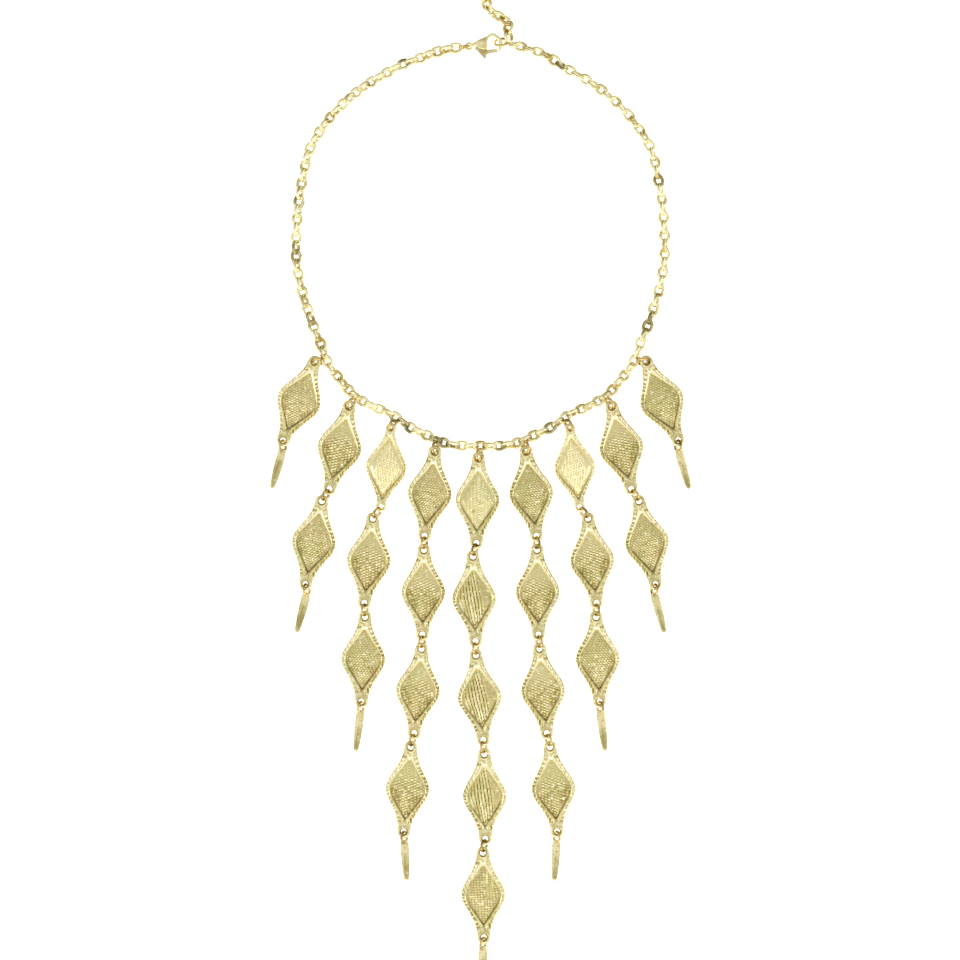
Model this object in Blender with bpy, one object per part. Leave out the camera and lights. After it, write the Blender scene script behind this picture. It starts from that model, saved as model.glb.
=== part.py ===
"""Bib necklace lying flat: a cable chain with nine strands of cast lozenge plaques.

Metres, +Z up. The necklace lies on the plane z = 0, the neck hollow open upwards, the
strands fanning out towards -Y. The back of every plaque is flat on the plane.
"""
import math

import bmesh
import bpy
from mathutils import Matrix, Vector

MM = 0.001

# Clearance between separate pieces, and how far fused links sink into each other
GAP = 0.3 * MM
FUSE = 0.22 * MM

# Points closer than this are one, and faces flatter than this are one
WELD = 0.002 * MM
FLAT_ANGLE = math.radians(0.05)
SMOOTH_ANGLE = math.radians(35.0)

# Lozenge plaque
HOLE_SPAN = 30.4 * MM
PLAQUE_WIDTH = 15.7 * MM
PLAQUE_THICK = 2.85 * MM
FLANK_LENGTH = 19.9 * MM
FLANK_END_WIDTH = 6.9 * MM
EYELET_WIDTH = 4.6 * MM
EYELET_HOLE = 2.5 * MM
EYELET_THICK = 1.0 * MM
EYELET_CORNERS = (22.5, 67.5)
NECK_LENGTH = 2.9 * MM
CORNER_DROP = 2.1 * MM
CORNER_IN = 0.3 * MM
RIM_WIDTH = 1.5 * MM
FIELD_DEPTH = 0.9 * MM
FIELD_TIP_WIDTH = 2.2 * MM
FIELD_CORNER_IN = 0.35 * MM
FIELD_CORNER_DROP = 1.6 * MM

# Bright fluted plaque that opens the third strand from each side
FLUTED_HOLE_SPAN = 28.4 * MM
FLUTED_WIDTH = 14.4 * MM
FLUTED_FLANK_END_WIDTH = 5.0 * MM
FLUTE_COUNT = 5
FLUTE_WIDTH = 0.9 * MM
FLUTE_HEIGHT = 0.5 * MM
FLUTE_REACH = 0.9

# Jump rings between the plaques
RING_WIRE = 0.75 * MM
RING_PLAY = 0.6 * MM
RING_SLACK = 0.25 * MM
RING_TILT = 28.0
TOP_RING_RADIUS = 2.0 * MM
RING_SIDES = 10
WIRE_SIDES = 5
HOLE_SIDES = 8

# Slim bar drop at the foot of each strand
DROP_LENGTH = 14.6 * MM
DROP_WIDTH = 3.0 * MM
DROP_TOP_WIDTH = 1.5 * MM
DROP_TIP_WIDTH = 1.7 * MM
DROP_THICK = 1.1 * MM
DROP_REACH = 4.3 * MM
DROP_CLEARANCE = 0.1 * MM

# Cable chain
CHAIN_WIRE = 0.85 * MM
LINK_WIDTH = 3.6 * MM
ROLL_STEP = 72.0
EXTENDER_ROLL = 40.0
EXTENDER_LINKS = 10
LINKED_BETWEEN = "second"
TUBE_POINTS = 20
TUBE_ROUNDNESS = 2
LINE_PIECES = 12
JOINT_PASSES = 8

# Lobster clasp
CLASP_ANGLE = 7.3
CLASP_LENGTH = 12.3 * MM
CLASP_THICK = 2.0 * MM
CLASP_LIFT = 1.2 * MM
CLASP_CHEEK = 0.35 * MM
CLASP_PIN = 0.8 * MM
CLASP_EYE = 3.0 * MM
CLASP_EYE_HOLE = 1.6 * MM
CLASP_EYE_THICK = 0.8 * MM
CLASP_EYE_SIDES = 12
CLASP_PIN_SIDES = 10
TAIL_RING_RADIUS = 1.8 * MM
TAIL_RING_WIRE = 0.6 * MM
TAIL_RING_OFFSET = 1.6 * MM
HOOK_RING_RADIUS = 2.45 * MM
HOOK_RING_TILT = 40.0

# Route of the neck chain from the middle of the front to the clasp, left half, in
# millimetres across and up from the centre of the neck. The right half mirrors it. The
# outer strand hangs at one of the points, counted from the middle.
NECK_ROUTE = (
    (0.0, -70.6), (-6.9, -70.5), (-13.1, -69.5), (-18.8, -66.9), (-25.2, -64.0),
    (-31.9, -59.2), (-38.8, -56.4), (-45.4, -52.4), (-50.6, -46.6), (-55.4, -40.0),
    (-57.4, -34.1), (-59.9, -28.2), (-62.6, -20.4), (-64.7, -13.1), (-66.1, -5.8),
    (-66.4, 0.8), (-66.2, 7.8), (-65.7, 14.4), (-64.9, 20.6), (-63.7, 27.0),
    (-61.8, 35.3), (-58.7, 41.2), (-54.9, 46.6), (-50.6, 51.5), (-45.7, 55.8),
    (-40.5, 59.8), (-34.8, 63.0), (-29.0, 66.4),
)
OUTER_STRAND_INDEX = 9
LEFT_END_ROUTE = ((-23.0, 68.5), (-16.7, 71.0), (-10.6, 72.6), (-8.75, 72.8))
RIGHT_END_ROUTE = ((24.4, 69.8), (17.2, 72.4), (12.6, 73.7))
CLASP_TAIL_AT = (-4.2, 73.3)
EXTENDER_ROUTE = (
    (10.4, 75.4), (9.7, 79.0), (10.3, 82.0), (7.9, 83.6), (4.9, 84.9),
    (3.1, 86.9), (1.6, 88.8), (1.9, 92.0), (2.7, 95.4), (2.6, 99.0), (2.2, 103.0),
)

# Lean of each ring and plaque from straight down, in degrees, positive outwards: the
# ring on the chain, then plaque and ring by turns, ending with the drop.
STRANDS = {
    "outer": {"link": 20, "leans": (86, 22, 0, 16)},
    "second": {"link": 15, "leans": (31, 13.4, 31.6, 11.3, -10, 15)},
    "third": {"link": 10, "leans": (24, 7.1, 34.7, 5.8, -1.9, 2.4, 4.4, 7)},
    "fourth": {"link": 5, "leans": (4, 7, 2.2, 1, 4, 5, 13, 4.7, -2.4, -3)},
    "middle": {"link": 0, "leans": (9, 1.4, 14, -1.8, -1.2, -5, -3.6, -0.7, 9.5, -0.7, 7, 0.7)},
}

# Outline of the drop: share of its length from the top, and width there.
DROP_SECTIONS = (
    ("top", 0.0, DROP_TOP_WIDTH), ("shoulder", 0.1, DROP_WIDTH * 0.85),
    ("widest", 0.27, DROP_WIDTH), ("tip side", 0.965, DROP_TIP_WIDTH),
    ("tip", 1.0, DROP_TIP_WIDTH * 0.55),
)

# Outlines of the clasp: along and across, as shares of its length. Its tail eye is at 0, 0.
CLASP_BODY = (
    ("tail top", 0.08, 0.05), ("shoulder", 0.16, 0.085), ("back", 0.348, 0.158),
    ("crown", 0.53, 0.212), ("crown high", 0.66, 0.272), ("bow", 0.76, 0.28),
    ("bow end", 0.857, 0.21), ("nose high", 0.945, 0.11), ("nose", 0.988, -0.027),
    ("nose low", 0.957, -0.14), ("tip", 0.90, -0.20), ("tip inside", 0.865, -0.14),
    ("hook low", 0.88, -0.06), ("hook inside", 0.87, 0.04), ("hook high", 0.815, 0.128),
    ("roof", 0.707, 0.195), ("roof end", 0.61, 0.15), ("throat", 0.545, 0.06),
    ("throat low", 0.535, -0.09), ("split end", 0.48, -0.145), ("split", 0.312, -0.11),
    ("split start", 0.17, -0.02), ("tail low", 0.08, -0.045),
)
CLASP_LEVER = (
    ("heel", 0.175, -0.10), ("root back", 0.245, -0.03), ("root top", 0.33, 0.04),
    ("root front", 0.415, -0.02), ("arm top", 0.50, -0.16), ("gate", 0.63, -0.178),
    ("gate top", 0.76, -0.174), ("gate end", 0.81, -0.18), ("gate tip", 0.815, -0.235),
    ("gate low", 0.726, -0.288), ("arm low", 0.555, -0.295), ("thumb right", 0.475, -0.33),
    ("thumb tip", 0.45, -0.412), ("thumb end", 0.42, -0.412), ("thumb left", 0.32, -0.285),
    ("belly", 0.22, -0.16),
)
CLASP_SLOT = (
    ("back", 0.135, -0.02), ("roof", 0.27, 0.075), ("roof front", 0.44, 0.075),
    ("front", 0.60, -0.01), ("mouth", 0.60, -0.45), ("foot", 0.135, -0.45),
)
CLASP_PIVOT = (0.33, -0.055)
HOOK_RING_AT = (0.955, 0.0)

# What follows from the sizes above
RING_INSIDE = EYELET_WIDTH + RING_PLAY - EYELET_HOLE + 2.0 * GAP + RING_SLACK
RING_RADIUS = (RING_INSIDE / 2.0 + RING_WIRE / 2.0) / math.cos(math.pi / RING_SIDES)
RING_SPAN = EYELET_WIDTH + RING_PLAY
EYELET_MID = PLAQUE_THICK - EYELET_THICK / 2.0
LINK_RADIUS = (LINK_WIDTH - CHAIN_WIRE) / 2.0
WIRE_FLAT = math.cos(math.pi / WIRE_SIDES)
CHAIN_HEIGHT = LINK_WIDTH / 2.0
LINK_REACH = EYELET_WIDTH / 2.0 + GAP + LINK_WIDTH / 2.0
LINK_HOLE = LINK_RADIUS * math.cos(math.pi / RING_SIDES) - CHAIN_WIRE / 2.0 * WIRE_FLAT

GOLD = {
    "matt_gold": {"color": (0.62, 0.50, 0.20, 1.0), "roughness": 0.42},
    "bright_gold": {"color": (0.78, 0.62, 0.26, 1.0), "roughness": 0.24},
}


def clear_scene():
    for item in list(bpy.data.objects):
        bpy.data.objects.remove(item, do_unlink=True)


def new_collection(name):
    group = bpy.data.collections.new(name)
    bpy.context.scene.collection.children.link(group)
    return group


def gold_material(name, finish):
    material = bpy.data.materials.new(name)
    material.use_nodes = True
    shader = material.node_tree.nodes["Principled BSDF"]
    shader.inputs["Base Color"].default_value = GOLD[finish]["color"]
    shader.inputs["Roughness"].default_value = GOLD[finish]["roughness"]
    shader.inputs["Metallic"].default_value = 1.0
    return material


def place(name, mesh, group, parent, finish):
    """One named piece of the necklace, under the empty that carries it."""
    item = bpy.data.objects.new(name, mesh)
    item.parent = parent
    group.objects.link(item)
    item.data.materials.clear()
    item.data.materials.append(gold_material(name, finish))
    item.data.shade_smooth()
    item.data.set_sharp_from_angle(angle=SMOOTH_ANGLE)
    return item


def evaluated_mesh(item):
    """The mesh of an object with its curve bevel or modifiers applied, flat faces whole."""
    graph = bpy.context.evaluated_depsgraph_get()
    mesh = bpy.data.meshes.new_from_object(item.evaluated_get(graph), depsgraph=graph)
    shape = bmesh.new()
    shape.from_mesh(mesh)
    bmesh.ops.remove_doubles(shape, verts=shape.verts, dist=WELD)
    bmesh.ops.dissolve_limit(shape, angle_limit=FLAT_ANGLE, verts=shape.verts, edges=shape.edges)
    bmesh.ops.transform(shape, matrix=item.matrix_world, verts=shape.verts)
    shape.to_mesh(mesh)
    shape.free()
    return mesh


def temporary(mesh):
    item = bpy.data.objects.new("temporary", mesh)
    bpy.context.scene.collection.objects.link(item)
    return item


def combined(mesh, other, operation):
    """Exact Boolean of two meshes, as a new mesh."""
    base = temporary(mesh)
    tool = temporary(other)
    modifier = base.modifiers.new("combine", "BOOLEAN")
    modifier.operation = operation
    modifier.solver = "EXACT"
    modifier.object = tool
    bpy.context.view_layer.update()
    result = evaluated_mesh(base)
    bpy.data.objects.remove(base)
    bpy.data.objects.remove(tool)
    return result


def joined(meshes):
    """Several meshes that don't touch, in one mesh."""
    shape = bmesh.new()
    for mesh in meshes:
        shape.from_mesh(mesh)
    result = bpy.data.meshes.new("joined")
    shape.to_mesh(result)
    shape.free()
    return result


def moved(mesh, matrix):
    copy = mesh.copy()
    copy.transform(matrix)
    return copy


def plate(outlines, low, high):
    """Flat plate from closed outlines, the first outside and the others holes."""
    curve = bpy.data.curves.new("outline", "CURVE")
    curve.dimensions = "2D"
    curve.fill_mode = "BOTH"
    curve.extrude = (high - low) / 2.0
    for outline in outlines:
        spline = curve.splines.new("POLY")
        spline.points.add(len(outline) - 1)
        for point, (across, along) in zip(spline.points, outline):
            point.co = (across, along, 0.0, 1.0)
        spline.use_cyclic_u = True
    item = bpy.data.objects.new("outline", curve)
    item.location.z = (low + high) / 2.0
    bpy.context.scene.collection.objects.link(item)
    bpy.context.view_layer.update()
    mesh = evaluated_mesh(item)
    bpy.data.objects.remove(item)
    return mesh


def circle(centre, radius, sides):
    return [
        (
            centre[0] + radius * math.cos(math.tau * (i + 0.5) / sides),
            centre[1] + radius * math.sin(math.tau * (i + 0.5) / sides),
        )
        for i in range(sides)
    ]


def rectangle(left, right, low, high):
    return [(left, low), (right, low), (right, high), (left, high)]


def plaque_outline(hole_span, width, flank_end_width):
    """Quarter outline from the eyelet's end to the side corner, mirrored twice."""
    hole_at = hole_span / 2.0
    eyelet = EYELET_WIDTH / 2.0
    quarter = [
        (eyelet * math.sin(math.radians(turn)), hole_at + eyelet * math.cos(math.radians(turn)))
        for turn in EYELET_CORNERS
    ]
    quarter += [
        (eyelet, hole_at - NECK_LENGTH),
        (flank_end_width / 2.0, FLANK_LENGTH / 2.0),
        (width / 2.0 - CORNER_IN, CORNER_DROP),
        (width / 2.0, 0.0),
    ]
    right = quarter + [(across, -along) for across, along in reversed(quarter[:-1])]
    left = [(-across, along) for across, along in reversed(right)]
    return right + left


def field_outline(width, flank_end_width):
    """Lozenge field, one rim width inside the flanks."""
    slope = math.atan2(width / 2.0 - flank_end_width / 2.0, FLANK_LENGTH / 2.0)
    side = width / 2.0 - RIM_WIDTH / math.cos(slope)
    tip_at = (side - FIELD_TIP_WIDTH / 2.0) / math.tan(slope)
    quarter = [(FIELD_TIP_WIDTH / 2.0, tip_at), (side - FIELD_CORNER_IN, FIELD_CORNER_DROP)]
    right = quarter + [(across, -along) for across, along in reversed(quarter)]
    left = [(-across, along) for across, along in reversed(right)]
    return right + left


def plaque_mesh(hole_span, width, flank_end_width, flutes):
    """Lozenge with a raised rim round a sunk field, and a thin eyelet at each end."""
    hole_at = hole_span / 2.0
    eyelet_low = PLAQUE_THICK - EYELET_THICK
    outline = plaque_outline(hole_span, width, flank_end_width)
    holes = [circle((0.0, end * hole_at), EYELET_HOLE / 2.0, HOLE_SIDES) for end in (1.0, -1.0)]
    mesh = plate([outline] + holes, 0.0, PLAQUE_THICK)
    tab_at = hole_at - NECK_LENGTH
    undercuts = []
    for end in (1.0, -1.0):
        low, high = sorted((end * tab_at, end * (hole_at + EYELET_WIDTH)))
        under = rectangle(-EYELET_WIDTH, EYELET_WIDTH, low, high)
        undercuts.append(plate([under], -EYELET_THICK, eyelet_low))
    mesh = combined(mesh, joined(undercuts), "DIFFERENCE")
    field = plate(
        [field_outline(width, flank_end_width)], PLAQUE_THICK - FIELD_DEPTH, PLAQUE_THICK + FIELD_DEPTH
    )
    mesh = combined(mesh, field, "DIFFERENCE")
    if flutes:
        mesh = combined(mesh, flute_mesh(width, flank_end_width), "UNION")
    return mesh


def flute_mesh(width, flank_end_width):
    """Raised upright ribs across the field of the bright plaque."""
    field = field_outline(width, flank_end_width)
    side = max(across for across, along in field)
    tip_at = max(along for across, along in field)
    pitch = 2.0 * side / (FLUTE_COUNT + 1)
    floor = PLAQUE_THICK - FIELD_DEPTH
    ribs = []
    for i in range(FLUTE_COUNT):
        across = (i - (FLUTE_COUNT - 1) / 2.0) * pitch
        reach = tip_at * (1.0 - (abs(across) + FLUTE_WIDTH / 2.0) / side) * FLUTE_REACH
        rib = rectangle(across - FLUTE_WIDTH / 2.0, across + FLUTE_WIDTH / 2.0, -reach, reach)
        ribs.append(plate([rib], floor - FUSE, floor + FLUTE_HEIGHT))
    return joined(ribs)


def torus_mesh(radius, wire, stretch=0.0):
    """Round ring, or an oval link when its two halves are pulled apart along X."""
    bpy.ops.mesh.primitive_torus_add(
        major_segments=RING_SIDES, minor_segments=WIRE_SIDES,
        major_radius=radius, minor_radius=wire / 2.0,
    )
    item = bpy.context.object
    mesh = item.data.copy()
    bpy.data.objects.remove(item)
    for vertex in mesh.vertices:
        vertex.co.x += math.copysign(stretch, vertex.co.x)
    return mesh


def direction(lean):
    """Unit vector that leans from straight down, positive towards -X."""
    turn = math.radians(lean)
    return Vector((-math.sin(turn), -math.cos(turn), 0.0))


def ring_matrix(centre, along, tilt):
    """Places a ring on edge along a strand, tipped over sideways."""
    forward = along.normalized()
    side = Vector((-forward.y, forward.x, 0.0))
    up = Vector((0.0, 0.0, 1.0))
    turn = math.radians(tilt)
    normal = side * math.cos(turn) + up * math.sin(turn)
    third = normal.cross(forward)
    frame = Matrix((forward, third, normal)).transposed().to_4x4()
    return Matrix.Translation(centre) @ frame


def link_matrix(centre, along, roll):
    """Places a link with its long side along the chain, rolled about that line."""
    forward = along.normalized()
    side = Vector((0.0, 0.0, 1.0)).cross(forward).normalized()
    frame = Matrix((forward, side, forward.cross(side))).transposed().to_4x4()
    return Matrix.Translation(centre) @ frame @ Matrix.Rotation(math.radians(roll), 4, "X")


def smooth_line(points):
    """Points close together on a smooth curve through the chosen ones."""
    chosen = [Vector((x, y, 0.0)) for x, y in points]
    ends = [2.0 * chosen[0] - chosen[1]] + chosen + [2.0 * chosen[-1] - chosen[-2]]
    line = [chosen[0]]
    for i in range(1, len(ends) - 2):
        before, start, end, after = ends[i - 1:i + 3]
        for step in range(1, LINE_PIECES + 1):
            t = step / LINE_PIECES
            line.append(0.5 * (
                2.0 * start + (end - before) * t
                + (2.0 * before - 5.0 * start + 4.0 * end - after) * t * t
                + (3.0 * start - before - 3.0 * end + after) * t * t * t
            ))
    return line


def line_length(line):
    return sum((b - a).length for a, b in zip(line, line[1:]))


def point_at(line, distance):
    """Point and direction at a distance along the line, straight on past its ends."""
    left = distance
    for a, b in zip(line, line[1:]):
        length = (b - a).length
        if left <= length or b is line[-1]:
            break
        left -= length
    return a + (b - a).normalized() * left, (b - a).normalized()


def tube_mesh(line, start, end):
    """Plain round tube for a run of chain, a point every few diameters."""
    curve = bpy.data.curves.new("run", "CURVE")
    curve.dimensions = "3D"
    curve.bevel_depth = LINK_WIDTH / 2.0
    curve.bevel_resolution = TUBE_ROUNDNESS
    curve.use_fill_caps = True
    spline = curve.splines.new("POLY")
    spline.points.add(TUBE_POINTS - 1)
    for i, point in enumerate(spline.points):
        at = point_at(line, start + (end - start) * i / (TUBE_POINTS - 1))[0]
        point.co = (at.x, at.y, CHAIN_HEIGHT, 1.0)
    item = bpy.data.objects.new("run", curve)
    bpy.context.scene.collection.objects.link(item)
    bpy.context.view_layer.update()
    mesh = evaluated_mesh(item)
    bpy.data.objects.remove(item)
    return mesh


def mirrored(points):
    return tuple((-x, y) for x, y in points)


def scaled(points):
    return [(x * MM, y * MM) for x, y in points]


def front_pitch():
    """Distance between link centres, so that the outer strands hang from a link."""
    chosen = scaled(NECK_ROUTE[:OUTER_STRAND_INDEX + 1])
    return line_length(smooth_line(chosen)) / STRANDS["outer"]["link"]


def link_joints(line, start, pitch, count):
    """Points on the line where neighbouring links meet, a straight pitch apart."""
    joints = [point_at(line, start)[0]]
    distance = start
    for number in range(count):
        step = pitch
        for turn in range(JOINT_PASSES):
            reach = (point_at(line, distance + step)[0] - joints[-1]).length
            step += pitch - reach
        distance += step
        joints.append(point_at(line, distance)[0])
    return joints


def link_length(pitch):
    """Length of a link whose neighbours, a pitch away, just sink into its ends."""
    return pitch - FUSE + CHAIN_WIRE * (1.0 + WIRE_FLAT)


def link_mesh(pitch):
    return torus_mesh(LINK_RADIUS, CHAIN_WIRE, (link_length(pitch) - LINK_WIDTH) / 2.0)


def linked_mesh(joints, rolls, pitch, extra):
    """Links between the joints and the extra shapes, all fused in one body."""
    link = link_mesh(pitch)
    sets = ([], [])
    for number, (start, end, roll) in enumerate(zip(joints, joints[1:], rolls)):
        middle = (start + end) / 2.0
        middle.z = CHAIN_HEIGHT
        sets[number % 2].append(moved(link, link_matrix(middle, end - start, roll)))
    chain = combined(joined(sets[0]), joined(sets[1]), "UNION")
    return combined(chain, joined(extra), "UNION")


def front_rolls():
    """Roll of each link from the middle out: flat at a strand, turning on between strands."""
    anchors = sorted(strand["link"] for strand in STRANDS.values())
    rolls = [0.0]
    for start, end in zip(anchors, anchors[1:]):
        half_turns = round((end - start) * ROLL_STEP / 180.0)
        rolls += [rolls[-1] + 180.0 * half_turns * (i + 1) / (end - start) for i in range(end - start)]
    return rolls


def extender_mesh(line, ring_at):
    """The ring in the clasp's hook and the short chain that leads away from it."""
    pitch = line_length(line) / EXTENDER_LINKS
    joints = link_joints(line, 0.0, pitch, EXTENDER_LINKS)
    rolls = [EXTENDER_ROLL + 90.0 * number for number in range(EXTENDER_LINKS)]
    along = clasp_matrix().to_3x3() @ Vector((1.0, 0.0, 0.0))
    frame = ring_matrix(ring_at, along, HOOK_RING_TILT)
    ring = moved(torus_mesh(HOOK_RING_RADIUS, RING_WIRE), frame)
    return linked_mesh(joints, rolls, pitch, [ring])


def drop_mesh():
    """Slim flat bar from its top at the origin down along -Y, with a round tip."""
    right = [(width / 2.0, -share * DROP_LENGTH) for name, share, width in DROP_SECTIONS]
    left = [(-across, along) for across, along in reversed(right)]
    return plate([right + left], -DROP_THICK / 2.0, DROP_THICK / 2.0)


def drop_with_ring(hole, ring_lean, drop_lean, tilt):
    """A bar drop soldered to its jump ring, tip on the table."""
    down = direction(ring_lean)
    centre = hole + down * (DROP_REACH / 2.0)
    centre.z = EYELET_MID
    ring = moved(torus_mesh(RING_RADIUS, RING_WIRE), ring_matrix(centre, down, tilt))
    top = centre + down * (RING_RADIUS - RING_WIRE / 4.0)
    fall = (EYELET_MID - DROP_THICK / 2.0 - DROP_CLEARANCE) / DROP_LENGTH
    turn = Matrix.Rotation(math.radians(-drop_lean), 4, "Z") @ Matrix.Rotation(math.asin(fall), 4, "X")
    return combined(ring, moved(drop_mesh(), Matrix.Translation(top) @ turn), "UNION")


def clasp_points(table):
    return [(along * CLASP_LENGTH, across * CLASP_LENGTH) for name, along, across in table]


def clasp_matrix():
    """Place of the clasp: its tail eye at the origin, its hook along X."""
    tail = Vector((CLASP_TAIL_AT[0] * MM, CLASP_TAIL_AT[1] * MM, CLASP_LIFT))
    return Matrix.Translation(tail) @ Matrix.Rotation(math.radians(CLASP_ANGLE), 4, "Z")


def clasp_body_mesh():
    """Lobster body: tail eye, two cheeks over the lever's root, pin and hook."""
    mesh = plate([clasp_points(CLASP_BODY)], 0.0, CLASP_THICK)
    eye_low = (CLASP_THICK - CLASP_EYE_THICK) / 2.0
    eye_outline = circle((0.0, 0.0), CLASP_EYE / 2.0, CLASP_EYE_SIDES)
    eye = plate([eye_outline], eye_low, eye_low + CLASP_EYE_THICK)
    bore_outline = circle((0.0, 0.0), CLASP_EYE_HOLE / 2.0, CLASP_EYE_SIDES)
    bore = plate([bore_outline], -CLASP_THICK, 2.0 * CLASP_THICK)
    slot = plate([clasp_points(CLASP_SLOT)], CLASP_CHEEK, CLASP_THICK - CLASP_CHEEK)
    pin_outline = circle(Vector(CLASP_PIVOT) * CLASP_LENGTH, CLASP_PIN / 2.0, CLASP_PIN_SIDES)
    pin = plate([pin_outline], CLASP_CHEEK / 2.0, CLASP_THICK - CLASP_CHEEK / 2.0)
    mesh = combined(combined(mesh, eye, "UNION"), bore, "DIFFERENCE")
    return combined(combined(mesh, slot, "DIFFERENCE"), pin, "UNION")


def clasp_lever_mesh():
    """Sprung gate of the clasp with its thumb tab, bored for the pin."""
    pivot = Vector(CLASP_PIVOT) * CLASP_LENGTH
    outline = [tuple(Vector(point) - pivot) for point in clasp_points(CLASP_LEVER)]
    bore = circle((0.0, 0.0), CLASP_PIN / 2.0 + GAP, CLASP_PIN_SIDES)
    low = CLASP_CHEEK + GAP
    return plate([outline, bore], low, CLASP_THICK - low)


def lay_strand(name, strand, anchor, mirror, meshes, group, root):
    """Rings, plaques and drop of one strand from its link down. Returns its top ring."""
    side = -1.0 if mirror else 1.0
    leans = [side * lean for lean in strand["leans"]]
    tilt = side * RING_TILT
    down = direction(leans[0])
    hole = anchor + down * LINK_REACH
    across = math.sqrt(TOP_RING_RADIUS ** 2 - (EYELET_MID - CHAIN_HEIGHT) ** 2)
    centre = anchor + down * (LINK_HOLE + FUSE + across - RING_WIRE / 2.0 * WIRE_FLAT)
    centre.z = EYELET_MID
    top_ring = moved(torus_mesh(TOP_RING_RADIUS, RING_WIRE), ring_matrix(centre, down, tilt))
    plaques = len(leans) // 2 - 1
    for i in range(plaques):
        lean = leans[1 + 2 * i]
        down = direction(lean)
        fluted = name.startswith("third") and i == 0
        span = FLUTED_HOLE_SPAN if fluted else HOLE_SPAN
        middle = hole + down * (span / 2.0)
        mesh = meshes["fluted" if fluted else "plaque"].copy()
        finish = "bright_gold" if fluted else "matt_gold"
        plaque = place(f"{name}_plaque_{i + 1}", mesh, group, root, finish)
        plaque.location = (middle.x, middle.y, 0.0)
        plaque.rotation_euler.z = math.radians(-lean)
        hole = hole + down * span
        if i < plaques - 1:
            down = direction(leans[2 + 2 * i])
            centre = hole + down * (RING_SPAN / 2.0)
            centre.z = EYELET_MID
            ring = place(f"{name}_ring_{i + 1}", meshes["ring"].copy(), group, root, "bright_gold")
            ring.matrix_local = ring_matrix(centre, down, tilt)
            hole = hole + down * RING_SPAN
    drop = drop_with_ring(hole, leans[-2], leans[-1], tilt)
    place(f"{name}_drop", drop, group, root, "bright_gold")
    return top_ring


def lay_strands(joints, group, root):
    """All nine strands, each from its own link. Returns their top rings by strand."""
    meshes = {
        "plaque": plaque_mesh(HOLE_SPAN, PLAQUE_WIDTH, FLANK_END_WIDTH, False),
        "fluted": plaque_mesh(FLUTED_HOLE_SPAN, FLUTED_WIDTH, FLUTED_FLANK_END_WIDTH, True),
        "ring": torus_mesh(RING_RADIUS, RING_WIRE),
    }
    middle = STRANDS["outer"]["link"]
    rings = {}
    for name, strand in STRANDS.items():
        for side in ("left", "right") if strand["link"] else ("",):
            mirror = side == "right"
            number = middle + strand["link"] * (1 if mirror else -1)
            anchor = (joints[number] + joints[number + 1]) / 2.0
            label = f"{name}_{side}" if side else name
            rings[label] = lay_strand(label, strand, anchor, mirror, meshes, group, root)
    return rings


def lay_chain(group, root):
    """The neck chain: linked across the front, a plain run up each side."""
    left = list(reversed(NECK_ROUTE + LEFT_END_ROUTE))
    right = mirrored(NECK_ROUTE)[1:] + RIGHT_END_ROUTE
    line = smooth_line(scaled(tuple(left) + right))
    middle = line_length(smooth_line(scaled(left)))
    pitch = front_pitch()
    last = STRANDS["outer"]["link"]
    outward = link_joints(line, middle + pitch / 2.0, pitch, last)
    joints = [Vector((-at.x, at.y, 0.0)) for at in reversed(outward)] + outward
    rings = lay_strands(joints, group, root)
    sides = {"left": rings.pop("outer_left"), "right": rings.pop("outer_right")}
    linked = STRANDS[LINKED_BETWEEN]["link"]
    outward_rolls = front_rolls()[:linked + 1]
    rolls = [-roll for roll in reversed(outward_rolls[1:])] + outward_rolls
    front = linked_mesh(joints[last - linked:last + linked + 2], rolls, pitch, list(rings.values()))
    place("chain_front", front, group, root, "bright_gold")
    tube_from = linked * pitch + link_length(pitch) / 2.0 + GAP
    runs = {"left": (0.0, middle - tube_from), "right": (middle + tube_from, line_length(line))}
    for side, (start, end) in runs.items():
        run = combined(tube_mesh(line, start, end), sides[side], "UNION")
        place(f"chain_{side}", run, group, root, "bright_gold")


def lay_clasp(group, root):
    """Clasp body, its lever on the pin, its tail ring and the extender in its hook."""
    frame = clasp_matrix()
    body = place("clasp_body", clasp_body_mesh(), group, root, "bright_gold")
    body.matrix_local = frame
    pivot = bpy.data.objects.new("clasp_pivot", None)
    pivot.parent = root
    pivot.matrix_local = frame @ Matrix.Translation(Vector((*CLASP_PIVOT, 0.0)) * CLASP_LENGTH)
    group.objects.link(pivot)
    place("clasp_lever", clasp_lever_mesh(), group, pivot, "bright_gold")
    along = frame.to_3x3() @ Vector((1.0, 0.0, 0.0))
    tail_ring_at = frame @ Vector((-TAIL_RING_OFFSET, 0.0, CLASP_THICK / 2.0))
    ring = place("clasp_ring", torus_mesh(TAIL_RING_RADIUS, TAIL_RING_WIRE), group, root, "bright_gold")
    ring.matrix_local = ring_matrix(tail_ring_at, along, 0.0)
    hook_at = Vector((*HOOK_RING_AT, 0.0)) * CLASP_LENGTH
    hook_ring_at = frame @ (hook_at + Vector((0.0, 0.0, CLASP_THICK / 2.0)))
    extender = extender_mesh(smooth_line(scaled(EXTENDER_ROUTE)), hook_ring_at)
    place("extender_chain", extender, group, root, "bright_gold")


def centre_on_origin(group, root):
    """Moves the necklace so that the middle of its box stands over the origin."""
    bpy.context.view_layer.update()
    corners = [
        item.matrix_world @ Vector(corner)
        for item in group.objects if item.type == "MESH" for corner in item.bound_box
    ]
    root.location.x = -(min(c.x for c in corners) + max(c.x for c in corners)) / 2.0
    root.location.y = -(min(c.y for c in corners) + max(c.y for c in corners)) / 2.0
    bpy.context.view_layer.update()


def build():
    clear_scene()
    group = new_collection("bib_necklace")
    root = bpy.data.objects.new("necklace_origin", None)
    group.objects.link(root)
    lay_chain(group, root)
    lay_clasp(group, root)
    centre_on_origin(group, root)


build()
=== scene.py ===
import math
import random

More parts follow.
